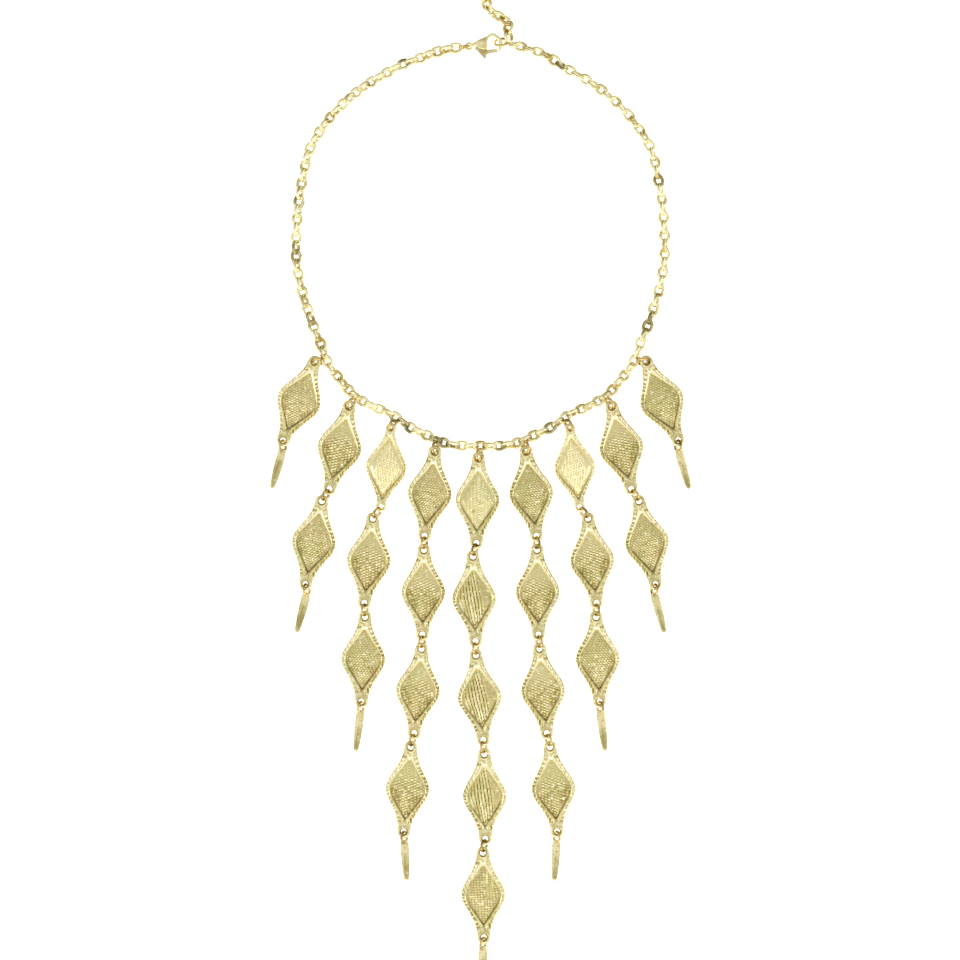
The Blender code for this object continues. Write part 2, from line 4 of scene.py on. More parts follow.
import bpy
from mathutils import Matrix, Vector, noise


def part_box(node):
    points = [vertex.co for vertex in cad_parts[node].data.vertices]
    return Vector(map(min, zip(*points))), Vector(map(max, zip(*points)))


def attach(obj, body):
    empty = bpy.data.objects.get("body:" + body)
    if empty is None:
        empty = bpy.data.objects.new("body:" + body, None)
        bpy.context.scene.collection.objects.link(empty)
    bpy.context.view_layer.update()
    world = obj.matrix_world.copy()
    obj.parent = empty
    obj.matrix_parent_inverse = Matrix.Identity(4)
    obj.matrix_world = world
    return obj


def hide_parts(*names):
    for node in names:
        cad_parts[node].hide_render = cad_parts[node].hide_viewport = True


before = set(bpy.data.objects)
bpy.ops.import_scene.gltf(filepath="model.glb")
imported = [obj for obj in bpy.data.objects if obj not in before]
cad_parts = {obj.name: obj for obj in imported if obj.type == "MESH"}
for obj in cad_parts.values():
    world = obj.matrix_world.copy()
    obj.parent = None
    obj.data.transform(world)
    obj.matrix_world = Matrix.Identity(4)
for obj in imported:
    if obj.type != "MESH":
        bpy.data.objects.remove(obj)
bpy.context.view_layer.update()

# Bib necklace in pale gold: each visible piece, its finish, and the studio around it
mm = 0.001
weldDistance = 0.01 * mm
chance = random.Random(23)
print("frame loaded:", len(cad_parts), "nodes")


# Small tools for meshes and routes
def deselectAll():
    bpy.ops.object.select_all(action="DESELECT")


def pick(pieces):
    deselectAll()
    for piece in pieces:
        piece.select_set(True)
    bpy.context.view_layer.objects.active = pieces[0]


def editMode(on):
    bpy.ops.object.mode_set(mode="EDIT" if on else "OBJECT")


def joinPieces(pieces, name):
    pick(pieces)
    if len(pieces) > 1:
        bpy.ops.object.join()
    joined = bpy.context.view_layer.objects.active
    joined.name = name
    joined.data.name = name
    return joined


def bakePlace(piece):  # the place goes into the mesh, the object stays at the origin
    pick([piece])
    bpy.ops.object.transform_apply(location=True, rotation=True, scale=True)


def outwardNormals(piece):
    pick([piece])
    editMode(True)
    bpy.ops.mesh.select_all(action="SELECT")
    bpy.ops.mesh.normals_make_consistent(inside=False)
    editMode(False)


def smoothShade(piece, angle):
    pick([piece])
    bpy.ops.object.shade_smooth_by_angle(angle=math.radians(angle))


def copyOf(master, name, matrix):
    piece = bpy.data.objects.new(name, master.data.copy())
    piece.data.transform(matrix)
    bpy.context.scene.collection.objects.link(piece)
    return piece


def reliefValues(piece, value):  # the colour mask: on cast gold 0 in the grooves and 1 on the crests bright from wear, with painted shade and highlight; on chain links, how much painted dark reflection
    layer = piece.data.attributes.new("relief", "FLOAT", "POINT")
    for vertex in piece.data.vertices:
        layer.data[vertex.index].value = value(vertex.co) if callable(value) else value


def smoothRoute(points, steps=12):
    chosen = [Vector((x * mm, y * mm, 0.0)) for x, y in points]
    ends = [2.0 * chosen[0] - chosen[1]] + chosen + [2.0 * chosen[-1] - chosen[-2]]
    line = [chosen[0]]
    for i in range(1, len(ends) - 2):
        before, start, end, after = ends[i - 1:i + 3]
        for step in range(1, steps + 1):
            t = step / steps
            line.append(0.5 * (
                2.0 * start + (end - before) * t
                + (2.0 * before - 5.0 * start + 4.0 * end - after) * t * t
                + (3.0 * start - before - 3.0 * end + after) * t * t * t
            ))
    return line


def routeLength(line):
    return sum((b - a).length for a, b in zip(line, line[1:]))


def routePoint(line, distance):
    left = distance
    for a, b in zip(line, line[1:]):
        length = (b - a).length
        if left <= length or b is line[-1]:
            break
        left -= length
    return a + (b - a).normalized() * left


def linkEnds(line, start, pitch, count):  # a straight pitch apart, as links lie
    ends = [routePoint(line, start)]
    distance = start
    for number in range(count):
        step = pitch
        for turn in range(8):
            step += pitch - (routePoint(line, distance + step) - ends[-1]).length
        distance += step
        ends.append(routePoint(line, distance))
    return ends


def leaning(lean):
    turn = math.radians(lean)
    return Vector((-math.sin(turn), -math.cos(turn), 0.0))


# Where everything lies, in millimetres from the middle of the neck
layout = {
    "neck": [
        (0.0, -70.6), (-6.9, -70.5), (-13.1, -69.5), (-18.8, -66.9), (-25.2, -64.0),
        (-31.9, -59.2), (-38.8, -56.4), (-45.4, -52.4), (-50.6, -46.6), (-55.4, -40.0),
        (-57.4, -34.1), (-59.9, -28.2), (-62.6, -20.4), (-64.7, -13.1), (-66.1, -5.8),
        (-66.4, 0.8), (-66.2, 7.8), (-65.7, 14.4), (-64.9, 20.6), (-63.7, 27.0),
        (-61.8, 35.3), (-58.7, 41.2), (-54.9, 46.6), (-50.6, 51.5), (-45.7, 55.8),
        (-40.5, 59.8), (-34.8, 63.0), (-29.0, 66.4),
    ],
    "outerStrandAt": 9,
    "leftEnd": [(-23.0, 68.5), (-16.7, 71.0), (-10.6, 72.6), (-7.5, 72.9)],
    "rightEnd": [(24.4, 69.8), (17.2, 72.4), (12.6, 73.7), (9.6, 74.5)],
    "extender": [
        (10.4, 75.4), (9.7, 79.0), (10.3, 82.0), (7.9, 83.6), (4.9, 84.9),
        (3.1, 86.9), (1.6, 88.8), (1.9, 92.0), (2.7, 95.4), (2.6, 99.0), (2.2, 102.4),
    ],
    "strands": {
        "outer": (20, (86, 22, 0, 16)),
        "second": (15, (31, 13.4, 31.6, 11.3, -10, 15)),
        "third": (10, (24, 7.1, 34.7, 5.8, -1.9, 2.4, 4.4, 7)),
        "fourth": (5, (4, 7, 2.2, 1, 4, 5, 13, 4.7, -2.4, -3)),
        "middle": (0, (9, 1.4, 14, -1.8, -1.2, -5, -3.6, -0.7, 9.5, -0.7, 7, 0.7)),
    },
    "linkReach": 4.4, "topRing": 3.05, "holeSpan": 30.4, "flutedSpan": 28.4,
    "ringSpan": 5.2, "dropReach": 4.3, "eyeletHeight": 2.35, "ringHeight": 2.28, "chainHeight": 2.02,
}


def layNeck():  # link ends across the front, and the free runs up to the clasp
    half = layout["neck"]
    left = smoothRoute(half + layout["leftEnd"])
    right = smoothRoute([(-x, y) for x, y in half] + layout["rightEnd"])
    last = layout["strands"]["outer"][0]
    pitch = routeLength(smoothRoute(half[:layout["outerStrandAt"] + 1])) / last
    return left, right, pitch, last


leftRun, rightRun, linkPitch, outerLink = layNeck()
rightLinks = linkEnds(rightRun, linkPitch / 2.0, linkPitch, outerLink)
leftLinks = [Vector((-at.x, at.y, 0.0)) for at in rightLinks]


def layStrands():  # places of every ring, plaque and drop, walked down from the chain
    places = {}
    for strand, (link, leans) in layout["strands"].items():
        for side, turn, ends in (("left", 1.0, leftLinks), ("right", -1.0, rightLinks)):
            if link:
                anchor = (ends[link - 1] + ends[link]) / 2.0
                label = strand + "_" + side
            elif side == "left":
                anchor = (leftLinks[0] + rightLinks[0]) / 2.0
                label = strand
            else:
                continue
            down = leaning(turn * leans[0])
            places[label + "_top"] = (anchor + down * layout["topRing"] * mm, turn * leans[0], turn)
            hole = anchor + down * layout["linkReach"] * mm
            plaques = len(leans) // 2 - 1
            for i in range(plaques):
                lean = turn * leans[1 + 2 * i]
                fluted = strand == "third" and i == 0
                span = layout["flutedSpan" if fluted else "holeSpan"] * mm
                places[f"{label}_plaque_{i + 1}"] = (hole + leaning(lean) * span / 2.0, lean, turn)
                hole = hole + leaning(lean) * span
                if i < plaques - 1:
                    lean = turn * leans[2 + 2 * i]
                    reach = leaning(lean) * layout["ringSpan"] * mm
                    places[f"{label}_ring_{i + 1}"] = (hole + reach / 2.0, lean, turn)
                    hole = hole + reach
            lean = turn * leans[-2]
            ringAt = hole + leaning(lean) * layout["dropReach"] * mm / 2.0
            places[label + "_drop"] = (ringAt, lean, turn, turn * leans[-1])
    return places


places = layStrands()
low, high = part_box("middle_plaque_1")
neckCentre = (low + high) / 2.0 - places["middle_plaque_1"][0]
neckCentre.z = 0.0
print("laid out, neck centre at", [round(value, 5) for value in neckCentre])


# Shader maths: a socket wrapped so that masks read as sums
class Shade:
    def __init__(self, tree, socket):
        self.tree = tree
        self.socket = socket

    def node(self, kind, settings=None, sockets=None, output=0):
        made = self.tree.nodes.new("ShaderNode" + kind)
        for key, value in (settings or {}).items():
            if key == "stops":
                for spare in range(len(value) - 2):
                    made.color_ramp.elements.new(0.5)
                for stop, (at, colour) in zip(made.color_ramp.elements, value):
                    stop.position = at
                    stop.color = colour
            else:
                setattr(made, key, value)
        for key, value in (sockets or {}).items():
            if isinstance(value, Shade):
                self.tree.links.new(value.socket, made.inputs[key])
            else:
                made.inputs[key].default_value = value
        return Shade(self.tree, made.outputs[output])

    def maths(self, operation, first, second=0.0, clamp=False):
        return self.node("Math", {"operation": operation, "use_clamp": clamp}, {0: first, 1: second})

    def __add__(self, other):
        return self.maths("ADD", self, other)

    def __radd__(self, other):
        return self.maths("ADD", other, self)

    def __sub__(self, other):
        return self.maths("SUBTRACT", self, other)

    def __rsub__(self, other):
        return self.maths("SUBTRACT", other, self)

    def __mul__(self, other):
        return self.maths("MULTIPLY", self, other)

    def __rmul__(self, other):
        return self.maths("MULTIPLY", other, self)

    def clamped(self):
        return self.maths("ADD", self, 0.0, clamp=True)

    def step(self, low, high):  # 0 below low, 1 above high, smooth between
        settings = {"interpolation_type": "SMOOTHSTEP"}
        sockets = {"Value": self, "From Min": low, "From Max": high}
        return self.node("MapRange", settings, sockets)

    def blend(self, first, second):  # colours mixed by this mask
        return self.node("Mix", {"data_type": "RGBA"}, {0: self, 6: first, 7: second}, 2)


def newFinish(name):
    material = bpy.data.materials.new(name)
    material.use_nodes = True
    tree = material.node_tree
    shader = tree.nodes["Principled BSDF"]
    shader.inputs["Metallic"].default_value = 1.0
    return material, Shade(tree, None), shader


def feed(make, shader, **wanted):
    for key, value in wanted.items():
        make.tree.links.new(value.socket, shader.inputs[key.replace("_", " ")])


goldFinish = {
    "castGroove": (0.40, 0.30, 0.085, 1.0), "castBody": (0.80, 0.69, 0.34, 1.0),
    "castCrest": (1.0, 0.92, 0.59, 1.0), "castGreen": (0.71, 0.66, 0.30, 1.0),
    "brightGroove": (0.62, 0.49, 0.18, 1.0), "brightBody": (0.92, 0.81, 0.43, 1.0),
    "brightCrest": (1.0, 0.93, 0.62, 1.0),
    "wire": (0.98, 0.89, 0.55, 1.0), "wireDeep": (0.58, 0.46, 0.16, 1.0),
    "olive": (0.24, 0.21, 0.07, 1.0),
    # the rings' darker orange-brown gold is painted shade
    "ring": (0.74, 0.55, 0.22, 1.0), "ringDeep": (0.27, 0.18, 0.05, 1.0),
    "clasp": (1.0, 0.92, 0.58, 1.0), "claspDeep": (0.78, 0.66, 0.30, 1.0),
    "satin": (0.84, 0.75, 0.42, 1.0), "satinDark": (0.40, 0.34, 0.12, 1.0),
}


def castGold(name, groove, body, crest, tint, rough):  # matt cast relief, darker in its grooves
    material, make, shader = newFinish(name)
    where = make.node("TexCoord", output=3)
    relief = make.node("Attribute", {"attribute_name": "relief"}, output=2)
    cloud = make.node("TexNoise", {}, {"Vector": where, "Scale": 95.0, "Detail": 3.0})  # broad tints
    grain = make.node("TexNoise", {}, {"Vector": where, "Scale": 1500.0, "Detail": 4.0, "Roughness": 0.7})
    fleck = make.node("TexVoronoi", {}, {"Vector": where, "Scale": 1250.0})
    wearAndLight = (relief + (grain - 0.5) * 0.55).clamped()
    ground = cloud.step(0.38, 0.66).blend(body, tint)
    colour = wearAndLight.step(0.08, 0.52).blend(groove, ground)
    colour = wearAndLight.step(0.72, 1.05).blend(colour, crest)
    dull = make.node("TexNoise", {}, {"Vector": where, "Scale": 640.0, "Detail": 2.0}).step(0.62, 0.74)
    glint = make.node("TexNoise", {}, {"Vector": where, "Scale": 850.0, "Detail": 1.0}).step(0.63, 0.7)
    colour = (dull * 0.6).blend(colour, groove)
    colour = (glint * 0.9).blend(colour, crest)
    roughness = rough + (1.0 - wearAndLight) * 0.2 - (wearAndLight.step(0.7, 1.0) + glint) * 0.07 + (cloud - 0.5) * 0.14
    height = grain * 0.6 + fleck * 0.4
    bump = make.node("Bump", {}, {"Height": height, "Strength": 0.42, "Distance": 0.00012})
    feed(make, shader, Base_Color=colour, Roughness=roughness, Normal=bump)
    return material


def polishedGold(name, bright, deep, rough):  # plated wire, a little rubbed and dusty, with painted dark reflections on some links
    material, make, shader = newFinish(name)
    where = make.node("TexCoord", output=3)
    cloud = make.node("TexNoise", {}, {"Vector": where, "Scale": 220.0, "Detail": 3.0})
    scuff = make.node("TexNoise", {}, {"Vector": where, "Scale": 1900.0, "Detail": 3.0})
    colour = cloud.step(0.34, 0.56).blend(deep, bright)
    darkReflection = make.node("Attribute", {"attribute_name": "relief"}, output=2)
    # painted dark reflection: olive patches where the relief value is set
    colour = (darkReflection * cloud.step(0.62, 0.46)).clamped().blend(colour, goldFinish["olive"])
    roughness = rough + (scuff - 0.5) * 0.16 + (cloud - 0.5) * 0.1
    bump = make.node("Bump", {}, {"Height": scuff, "Strength": 0.16, "Distance": 0.00005})
    feed(make, shader, Base_Color=colour, Roughness=roughness, Normal=bump)
    return material


def satinGold(name, bright, dark):  # brushed along the bar
    material, make, shader = newFinish(name)
    grid = make.node("UVMap")
    where = make.node("TexCoord", output=3)
    along = make.node("Mapping", {}, {"Vector": grid, "Scale": (2600.0, 110.0, 1.0)})
    brush = make.node("TexNoise", {}, {"Vector": along, "Scale": 1.0, "Detail": 4.0})
    cloud = make.node("TexNoise", {}, {"Vector": where, "Scale": 160.0, "Detail": 2.0})
    height = grid.node("SeparateXYZ", {}, {"Vector": grid}, 1)
    mask = (brush * 0.7 + cloud * 0.6 + height.step(-0.004, 0.006) * 0.2).step(0.55, 0.92)
    colour = mask.blend(dark, bright)
    speck = make.node("TexNoise", {}, {"Vector": where, "Scale": 1150.0, "Detail": 2.0})
    colour = (speck.step(0.56, 0.68) * 0.7).blend(colour, dark)
    colour = (speck.step(0.38, 0.30) * 0.5).blend(colour, goldFinish["castCrest"])
    roughness = 0.36 + (brush - 0.5) * 0.25
    bump = make.node("Bump", {}, {"Height": brush, "Strength": 0.3, "Distance": 0.00008})
    feed(make, shader, Base_Color=colour, Roughness=roughness, Normal=bump)
    return material


castFinish = castGold(
    "castGold", goldFinish["castGroove"], goldFinish["castBody"], goldFinish["castCrest"],
    goldFinish["castGreen"], 0.29,
)
flutedFinish = castGold(
    "flutedGold", goldFinish["brightGroove"], goldFinish["brightBody"], goldFinish["brightCrest"],
    goldFinish["brightBody"], 0.2,
)
wireFinish = polishedGold("wireGold", goldFinish["wire"], goldFinish["wireDeep"], 0.2)
claspFinish = polishedGold("claspGold", goldFinish["clasp"], goldFinish["claspDeep"], 0.2)
# painted shade: a darker copy of the wire gold for the jump rings
shadedRingFinish = polishedGold("ringGold", goldFinish["ring"], goldFinish["ringDeep"], 0.17)
dropFinish = satinGold("satinGold", goldFinish["satin"], goldFinish["satinDark"])
print("finishes made")


# Lozenge plaque: a cast body with a notched rim, a thin ridge round a relief field, two eyelets
plaque = {
    "around": 390, "notches": 52, "notchDepth": 0.5, "notchSlant": 6.5, "tipShare": 0.3,
    "phaseDrift": 3.4, "phaseScale": 420.0, "lumpHeight": 0.16, "lumpScale": 900.0,
    "speckHeight": 0.14, "speckScale": 1500.0, "eyeletFlat": 0.9, "tip": 1.3, "roll": 1.6,
    "fieldHeight": 1.68, "crown": 0.28, "slabFoot": 0.85, "slabCells": (64, 124),
    "neckFrom": 3.6, "neckTo": 1.8, "tabLow": 1.85, "top": 2.85,
}
lozenge = {
    "outline": [
        (0.0, 13.98), (0.86, 14.34), (1.24, 15.2), (1.8, 16.0), (2.25, 15.2), (2.32, 13.8), (2.55, 12.4),
        (3.0, 10.9), (3.6, 9.4), (4.4, 7.8), (5.35, 6.1), (6.25, 4.6), (7.0, 3.2), (7.5, 2.0),
        (7.78, 0.9), (7.85, 0.0),
    ],
    "field": [
        (0.0, 10.4), (0.4, 9.9), (1.05, 8.9), (1.85, 7.7), (2.75, 6.4), (3.65, 5.1), (4.5, 3.85),
        (5.2, 2.65), (5.7, 1.5), (5.95, 0.6), (6.0, 0.0),
    ],
    "hole": 15.2, "eyelet": (1.68, 0.66), "slabHalf": (7.05, 11.7),
}
slender = {
    "outline": [
        (0.0, 13.2), (0.6, 13.45), (0.92, 14.2), (1.4, 14.9), (1.8, 14.2), (1.75, 12.8), (1.95, 11.5),
        (2.45, 10.2), (3.2, 8.7), (4.1, 7.2), (4.95, 5.8), (5.8, 4.4), (6.5, 3.1), (6.98, 1.9),
        (7.18, 0.8), (7.2, 0.0),
    ],
    "field": [
        (0.0, 10.9), (0.35, 10.4), (0.85, 9.4), (1.5, 8.2), (2.3, 6.9), (3.2, 5.6), (4.1, 4.3),
        (4.95, 3.0), (5.6, 1.8), (5.95, 0.8), (6.05, 0.0),
    ],
    "hole": 14.2, "eyelet": (1.36, 0.57), "slabHalf": (7.05, 11.9),
}
# share of the way from outline to field, height, notch share, relief
rimStations = (
    (0.08, 0.0, 0.0, 0.5), (0.0, 0.35, 0.0, 0.5), (0.0, 1.85, 0.15, 0.35), (0.03, 2.25, 0.4, 0.42),
    (0.08, 2.58, 0.8, 0.58), (0.16, 2.78, 1.0, 0.74), (0.27, 2.84, 1.0, 0.8), (0.38, 2.82, 1.0, 0.76),
    (0.47, 2.7, 0.6, 0.6), (0.53, 2.74, 0.2, 0.72), (0.59, 2.76, 0.0, 0.95), (0.72, 2.61, 0.0, 1.0),
    (0.86, 2.42, 0.0, 0.92), (0.95, 2.1, 0.0, 0.5), (1.0, 1.65, 0.0, 0.32), (1.0, 0.95, 0.0, 0.1),
)
# where the notches are deepest, how even they are, how bright the ridge is (a painted highlight) and how
# dark its foot (a painted shade)
rimKinds = {
    "woven": ((0.9, -0.4), 0.5, 0.1, 0.7), "grained": ((0.9, -0.3), 0.5, -0.1, 0.35),
    "pleated": ((-0.7, -0.7), 0.15, 0.35, 1.0), "ribbed": ((-0.6, -0.8), 0.3, 0.25, 0.9),
    "fluted": ((0.6, -0.8), 0.3, 0.1, 0.5), "lined": ((0.5, -0.8), 0.35, 0.15, 0.8),
}


def ease(value, low, high):
    share = min(max((value - low) / (high - low), 0.0), 1.0)
    return share * share * (3.0 - 2.0 * share)


def quarterLine(points):
    line = smoothRoute(points, 8)
    return line, routeLength(line)


def loopPoint(quarter, turn, tipShare=0.0):  # once round the plaque from its upper end
    line, length = quarter
    part = int(turn * 4.0) % 4
    share = turn * 4.0 - int(turn * 4.0)
    share = 1.0 - share if part % 2 else share
    if tipShare:  # the neck fans out from the tip of the field
        share = 0.04 * share / tipShare + 0.96 * max(0.0, share - tipShare) / (1.0 - tipShare)
    at = routePoint(line, min(share, 1.0) * length)
    return Vector((at.x if part < 2 else -at.x, at.y if part in (0, 3) else -at.y, 0.0))


def closeLoops(piece):  # a wrapped grid becomes a closed skin
    pick([piece])
    editMode(True)
    bpy.ops.mesh.select_all(action="SELECT")
    bpy.ops.mesh.remove_doubles(threshold=weldDistance)
    bpy.ops.mesh.select_all(action="DESELECT")
    bpy.ops.mesh.select_mode(type="EDGE")
    bpy.ops.mesh.select_non_manifold()
    bpy.ops.mesh.fill_holes(sides=0)
    editMode(False)


def thinned(height, y, shape):  # the body thins to a tab at each hole
    toHole = shape["hole"] - abs(y)
    reach = ease(plaque["neckFrom"] - toHole, 0.0, plaque["neckFrom"] - plaque["neckTo"])
    tab = plaque["tabLow"] + height / plaque["top"] * (plaque["top"] - plaque["tabLow"])
    return height + (tab - height) * reach


def rimPoint(at, station, phase, shape, rimKind):  # a point of the body, and its colour mask there: wear, painted highlight and painted shade
    share, height, notch, relief = station
    (deepX, deepY), even, ridgeHighlight, shadow = rimKind
    toward = Vector((at.x / shape["slabHalf"][0], at.y / shape["slabHalf"][1])).normalized()
    toHole = shape["hole"] - abs(at.y) / mm
    lump = noise.noise(at * plaque["lumpScale"])
    strength = even + (1.0 - even) * ease(toward.x * deepX + toward.y * deepY, -0.3, 0.7)
    cut = notch * (0.5 - 0.5 * math.sin(phase)) * strength * (1.0 + lump) * ease(toHole, 1.5, 5.0)
    onRim = ease(share, 0.05, 0.15) * (1.0 - ease(share, 0.52, 0.66))
    onWall = 1.0 - ease(share, 0.03, 0.12)
    inside = ease(share, 0.54, 0.7)
    byHole = ease(-toHole, -5.5, -3.5)
    speck = noise.noise(at * plaque["speckScale"]) * byHole * ease(toHole, 1.6, 2.4) * onRim
    height += plaque["lumpHeight"] * lump * onRim - plaque["notchDepth"] * cut
    height = thinned(height, at.y / mm, shape) + plaque["speckHeight"] * speck
    # painted shade: darker on the lower inner wall, most towards the right, and in a line along the
    # upper-left outer edge
    shaded = ease(-toward.y, -0.15, 0.6) * (0.58 + 0.42 * toward.x) * ease(toHole, 3.5, 7.0)
    shaded = shaded * shadow * inside + 0.35 * ease(toward.y - toward.x, 0.2, 1.2) * onWall
    # painted highlight: lighter on the upper-left rim, on the upper inner walls, and on the ridge by kind
    upperLeftHighlight = ease(toward.y - 0.6 * toward.x, 0.0, 1.0) * ease(toHole, 3.0, 5.5)
    wearAndLight = relief + (ridgeHighlight + 0.35 * toward.y + 0.5 * lump) * inside
    wearAndLight += (0.75 * lump + 0.25 * upperLeftHighlight) * onRim + 0.8 * speck - 0.12 * byHole
    return Vector((at.x, at.y, height * mm)), wearAndLight - 0.62 * cut - 0.8 * shaded


def plaqueBody(shape, rimKind):
    around, stations = plaque["around"], len(rimStations)
    outer, inner = quarterLine(shape["outline"]), quarterLine(shape["field"])
    outerLoop = [loopPoint(outer, k / around) for k in range(around)]
    innerLoop = [loopPoint(inner, k / around, plaque["tipShare"]) for k in range(around)]
    deselectAll()
    bpy.ops.mesh.primitive_grid_add(x_subdivisions=around, y_subdivisions=stations - 1, size=2.0)
    body = bpy.context.object
    layer = body.data.attributes.new("relief", "FLOAT", "POINT")
    for vertex in body.data.vertices:
        k = round((vertex.co.x + 1.0) / 2.0 * around) % around
        station = rimStations[round((vertex.co.y + 1.0) / 2.0 * (stations - 1))]
        at = outerLoop[k].lerp(innerLoop[k], station[0])
        phase = math.tau * k * plaque["notches"] / around + station[0] * plaque["notchSlant"]
        phase += plaque["phaseDrift"] * noise.noise(outerLoop[k] * plaque["phaseScale"])
        vertex.co, layer.data[vertex.index].value = rimPoint(at, station, phase, shape, rimKind)
    closeLoops(body)
    return body


# Relief grounds: each function gives the height over the field, and its colour mask: wear, with a painted
# highlight on the pleated ground
ground = {
    "wovenBead": (1.12, 1.0), "grainedBead": (0.98, 0.9), "ribbedBead": (1.08, 0.85),
    "linedBead": (1.2, 0.9), "pleat": 1.2, "pleatLean": 0.13, "pleatWander": 0.14, "pleatBead": 0.8,
    "flute": 1.2, "fluteLean": 0.05, "ripple": 0.95, "rippleStep": 1.12,
    "ribs": ((1.3, 0.3), (3.1, 0.26)),
    "darkPatches": ((-4.9, -0.6, 1.0), (-3.6, -3.8, 1.1), (3.5, -3.9, 1.3), (0.4, -8.9, 0.9)),
}


def weave(x, y, across, along):  # short oblique beads in staggered columns
    column = math.floor(x / across)
    inside = x / across - column - 0.5
    row = y / along + 0.5 * (column % 2) - 0.2 * inside
    wearAndLight = 0.8 + 0.9 * noise.noise(Vector((column * 1.7, math.floor(row) * 1.3, 0.5)))
    return (0.5 + 0.5 * math.cos(math.tau * row)) * math.cos(math.pi * inside) ** 1.2 * wearAndLight


def patches(x, y):  # darker in the left corner and along the lower sides
    return sum(
        math.exp(-((x - a) ** 2 + (y - b) ** 2 * 0.5) / size ** 2) for a, b, size in ground["darkPatches"]
    )


def wovenField(x, y):
    low = ease(-y, -7.0, 0.5)
    value = weave(x + 0.1 * y, y, *ground["wovenBead"]) * (0.35 + 0.65 * low)
    return 0.46 * value, 0.44 - 0.2 * low + 1.0 * value - 0.32 * patches(x, y)


def grainedField(x, y):  # finer grains in slanting rows
    value = weave(0.92 * x + 0.4 * y, 0.92 * y - 0.4 * x, *ground["grainedBead"])
    value *= 0.55 + 0.45 * ease(-y, -6.0, 3.0)
    return 0.4 * value, 0.26 + 0.95 * value - 0.2 * patches(x, y)


def pleatedField(x, y):  # beaded ribs on the left, running a little outwards, plain on the right
    pitch = ground["pleat"]
    lean = (x + ground["pleatLean"] * y) * (1.0 + 0.03 * abs(y))
    ribs = 1.0 - ease(lean, 2.2, 3.2)
    lean += ground["pleatWander"] * noise.noise(Vector((x, y * 0.5, 2.0)))
    rib = abs(math.sin(math.pi * lean / pitch)) ** 0.8
    fade = 0.75 + 0.6 * noise.noise(Vector((math.floor(lean / pitch) * 2.3, y * 0.22, 5.0)))
    grain = weave(lean, y, pitch / 2.0, ground["pleatBead"])
    height = ribs * (0.42 * rib + 0.2 * grain) + (1.0 - ribs) * (0.12 + 0.1 * grain)
    wearAndLight = ribs * (-0.3 + 1.3 * rib * fade + 0.6 * grain) + (1.0 - ribs) * (0.32 + 0.25 * grain)
    # painted highlight: the field is lighter towards its left inner wall
    return height, wearAndLight + 0.25 * ease(-x - 0.4 * abs(y), 2.5, 4.5)


def ribbedField(x, y):  # woven, with two upright ribs on the right
    ribs = max(math.exp(-((x - at) / width) ** 2) for at, width in ground["ribs"])
    ribs *= ease(y + 7.5 - 1.6 * x, 0.0, 2.0)
    value = weave(x + 0.06 * y, y + 0.35 * x, *ground["ribbedBead"])
    return max(0.24 * value, 0.5 * ribs), max(0.22 + 0.68 * value, 1.25 * ribs)


def flutedField(x, y):
    lines = ease(x, -4.6, -3.0)
    flute = abs(math.sin(math.pi * (x + ground["fluteLean"] * y) / ground["flute"])) ** 0.45
    shift = 2.0 * math.floor(x / ground["rippleStep"])
    ripple = 0.5 + 0.5 * math.sin(math.tau * y / ground["ripple"] + shift)
    flute = 1.0 - lines * (1.0 - flute)
    return 0.36 * flute + 0.03 * ripple * lines, -0.15 + 1.0 * flute + 0.08 * ripple


def linedField(x, y):  # light and streaked on the left, beaded lines on the right
    height, wearAndLight = flutedField(x, y)
    value = weave(x, y, *ground["linedBead"]) * ease(x, -2.5, 0.5)
    return 0.7 * height + 0.2 * value, 0.32 + 0.5 * wearAndLight + 0.4 * value


def plaqueField(relief, shape):
    halfX, halfY = shape["slabHalf"][0] * mm, shape["slabHalf"][1] * mm
    cellsX, cellsY = plaque["slabCells"]
    deselectAll()
    bpy.ops.mesh.primitive_grid_add(x_subdivisions=cellsX, y_subdivisions=cellsY, size=2.0)
    slab = bpy.context.object
    for vertex in slab.data.vertices:
        vertex.co = (vertex.co.x * halfX, vertex.co.y * halfY, plaque["fieldHeight"] * mm)
    editMode(True)
    for signX in (1.0, -1.0):
        for signY in (1.0, -1.0):
            away = Vector((signX * halfY, signY * halfX, 0.0)).normalized()
            bpy.ops.mesh.select_all(action="SELECT")
            bpy.ops.mesh.bisect(
                plane_co=(signX * halfX, 0.0, 0.0), plane_no=away, clear_outer=True, use_fill=False
            )
    bpy.ops.mesh.select_all(action="SELECT")
    fall = (plaque["slabFoot"] - plaque["fieldHeight"]) * mm
    bpy.ops.mesh.extrude_region_move(TRANSFORM_OT_translate={"value": (0.0, 0.0, fall)})
    editMode(False)
    layer = slab.data.attributes.new("relief", "FLOAT", "POINT")
    for vertex in slab.data.vertices:
        x, y = vertex.co.x / mm, vertex.co.y / mm
        if vertex.co.z < (plaque["fieldHeight"] - 0.1) * mm:
            vertex.co.z = thinned(plaque["slabFoot"], y, shape) * mm
            continue
        height, wearAndLight = relief(x, y)
        rim = abs(x) / shape["field"][-1][0] + abs(y) / shape["field"][0][1]
        height *= 1.0 - 0.85 * ease(rim, 0.86, 1.0)
        crown = plaque["crown"] * (1.0 - min(1.0, rim) ** 2.0)
        vertex.co.z = thinned(plaque["fieldHeight"] + height + crown, y, shape) * mm
        layer.data[vertex.index].value = wearAndLight
    return slab


def eyeletPaintedShade(hole, major, minor):  # bright on the crown of the ring, with painted shade darker within the hole
    return lambda at: 0.15 + 0.7 * ease(((at - hole).xy.length / mm - major) / minor, -0.5, 0.4)


